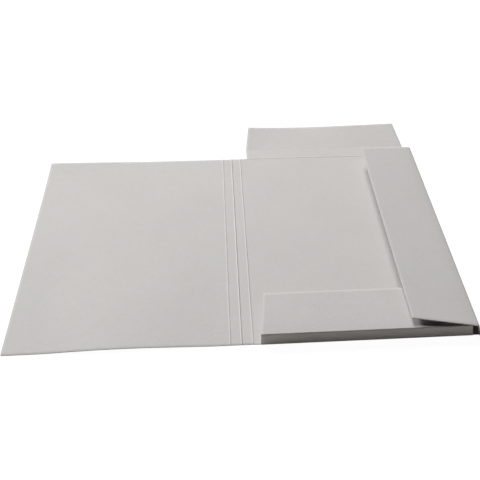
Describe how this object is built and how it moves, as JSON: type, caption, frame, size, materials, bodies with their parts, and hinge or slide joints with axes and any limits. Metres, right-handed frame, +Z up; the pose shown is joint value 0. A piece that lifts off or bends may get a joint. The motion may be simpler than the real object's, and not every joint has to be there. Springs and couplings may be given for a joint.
{
  "type": "collection folder",
  "caption": "Grey board collection folder for loose A4 sheets, lying open, with a creased spine, a front cover, and low walls with fold-in flaps on the other sides.",
  "frame": {"origin": "middle of the back cover's underside, on the surface that the folder lies on", "axes": "+X from the spine to the side flap, +Y from the bottom edge to the top edge, +Z up out of the back cover"},
  "size_m": [0.4607, 0.3825, 0.0213],
  "materials": {
    "grey_board": "matt uncoated grey board"
  },
  "bodies": {
    "back_cover": {"back_cover": "grey_board"},
    "spine_strip_inner": {"spine_strip_inner": "grey_board"},
    "spine_strip_outer": {"spine_strip_outer": "grey_board"},
    "front_cover": {"front_cover": "grey_board"},
    "bottom_wall": {"bottom_wall": "grey_board"},
    "bottom_flap": {"bottom_flap": "grey_board"},
    "side_wall": {"side_wall": "grey_board"},
    "side_flap": {"side_flap": "grey_board"},
    "top_wall": {"top_wall": "grey_board"},
    "top_flap": {"top_flap": "grey_board"}
  },
  "joints": [
    {"name": "spine_back_crease", "type": "hinge", "parent": "back_cover", "child": "spine_strip_inner", "pos_m": [-0.111, 0, 0.0008], "axis": [0, 1, 0], "range_deg": [0, 84]},
    {"name": "spine_middle_crease", "type": "hinge", "parent": "spine_strip_inner", "child": "spine_strip_outer", "pos_m": [-0.12199, 0, 0.0008], "axis": [0, 1, 0], "range_deg": [0, 12]},
    {"name": "spine_front_crease", "type": "hinge", "parent": "spine_strip_outer", "child": "front_cover", "pos_m": [-0.13298, 0, 0.0008], "axis": [0, 1, 0], "range_deg": [0, 84]},
    {"name": "side_wall_crease", "type": "hinge", "parent": "back_cover", "child": "side_wall", "pos_m": [0.111, 0, 0.0008], "axis": [0, 1, 0], "range_deg": [0, 106]},
    {"name": "side_flap_crease", "type": "hinge", "parent": "side_wall", "child": "side_flap", "pos_m": [0.10681, 0, 0.0154], "axis": [0, 1, 0], "range_deg": [0, 69.5]},
    {"name": "bottom_wall_crease", "type": "hinge", "parent": "back_cover", "child": "bottom_wall", "pos_m": [0, -0.155, 0.0008], "axis": [1, 0, 0], "range_deg": [0, 45]},
    {"name": "bottom_flap_crease", "type": "hinge", "parent": "bottom_wall", "child": "bottom_flap", "pos_m": [0, -0.155, 0.0143], "axis": [1, 0, 0], "range_deg": [0, 45]},
    {"name": "top_wall_crease", "type": "hinge", "parent": "back_cover", "child": "top_wall", "pos_m": [0, 0.155, 0.0008], "axis": [1, 0, 0], "range_deg": [0, 90]},
    {"name": "top_flap_crease", "type": "hinge", "parent": "top_wall", "child": "top_flap", "pos_m": [0, 0.17576, 0.0008], "axis": [1, 0, 0], "range_deg": [0, 90]}
  ],
  "couplings": [
    {"joint": "side_flap_crease", "follows": "side_wall_crease", "ratio": 0.65566},
    {"joint": "bottom_wall_crease", "follows": "side_wall_crease", "ratio": 0.42453},
    {"joint": "bottom_flap_crease", "follows": "side_wall_crease", "ratio": 0.42453}
  ]
}
